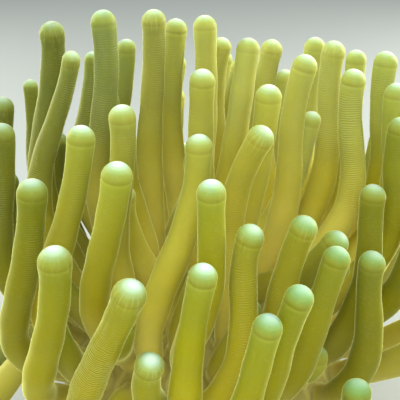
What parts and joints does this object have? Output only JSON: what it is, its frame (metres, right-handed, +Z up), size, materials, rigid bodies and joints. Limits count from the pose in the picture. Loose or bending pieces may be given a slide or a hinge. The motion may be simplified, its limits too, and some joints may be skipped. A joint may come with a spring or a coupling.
{
  "type": "sea anemone model",
  "caption": "Still life-size giant Caribbean sea anemone: flared foot, short column and a domed crown of long round-tipped tentacles swept slightly to one side.",
  "frame": {"origin": "middle of the foot, on the floor", "axes": "+Z up along the column, -Y towards the viewer, +X to the viewer's right, the side the tentacle tips drift to"},
  "size_m": [0.2571, 0.22, 0.216],
  "materials": {
    "tentacle_skin": "moist translucent flesh, olive yellow with pale green tips",
    "disc_skin": "moist translucent flesh, pale olive tan with faint radial lines",
    "lip_skin": "moist soft flesh, pale cream",
    "column_skin": "moist soft flesh, pale tan with faint upright lines"
  },
  "bodies": {
    "root": {"tentacles_inner_01": "tentacle_skin", "tentacles_inner_02": "tentacle_skin", "tentacles_inner_03": "tentacle_skin", "tentacles_inner_04": "tentacle_skin", "tentacles_inner_05": "tentacle_skin", "tentacles_inner_06": "tentacle_skin", "tentacles_second_01": "tentacle_skin", "tentacles_second_02": "tentacle_skin", "tentacles_second_03": "tentacle_skin", "tentacles_second_04": "tentacle_skin", "tentacles_second_05": "tentacle_skin", "tentacles_second_06": "tentacle_skin", "tentacles_third_01": "tentacle_skin", "tentacles_third_02": "tentacle_skin", "tentacles_third_03": "tentacle_skin", "tentacles_third_04": "tentacle_skin", "tentacles_third_05": "tentacle_skin", "tentacles_third_06": "tentacle_skin", "tentacles_third_07": "tentacle_skin", "tentacles_third_08": "tentacle_skin", "tentacles_third_09": "tentacle_skin", "tentacles_third_10": "tentacle_skin", "tentacles_third_11": "tentacle_skin", "tentacles_third_12": "tentacle_skin", "tentacles_fourth_01": "tentacle_skin", "tentacles_fourth_02": "tentacle_skin", "tentacles_fourth_03": "tentacle_skin", "tentacles_fourth_04": "tentacle_skin", "tentacles_fourth_05": "tentacle_skin", "tentacles_fourth_06": "tentacle_skin", "tentacles_fourth_07": "tentacle_skin", "tentacles_fourth_08": "tentacle_skin", "tentacles_fourth_09": "tentacle_skin", "tentacles_fourth_10": "tentacle_skin", "tentacles_fourth_11": "tentacle_skin", "tentacles_fourth_12": "tentacle_skin", "tentacles_outer_01": "tentacle_skin", "tentacles_outer_02": "tentacle_skin", "tentacles_outer_03": "tentacle_skin", "tentacles_outer_04": "tentacle_skin", "tentacles_outer_05": "tentacle_skin", "tentacles_outer_06": "tentacle_skin", "tentacles_outer_07": "tentacle_skin", "tentacles_outer_08": "tentacle_skin", "tentacles_outer_09": "tentacle_skin", "tentacles_outer_10": "tentacle_skin", "tentacles_outer_11": "tentacle_skin", "tentacles_outer_12": "tentacle_skin", "oral_disc": "disc_skin", "mouth_lips": "lip_skin", "crown_underside": "column_skin", "column_upper": "column_skin", "column_lower": "column_skin", "pedal_disc": "column_skin"}
  },
  "joints": []
}
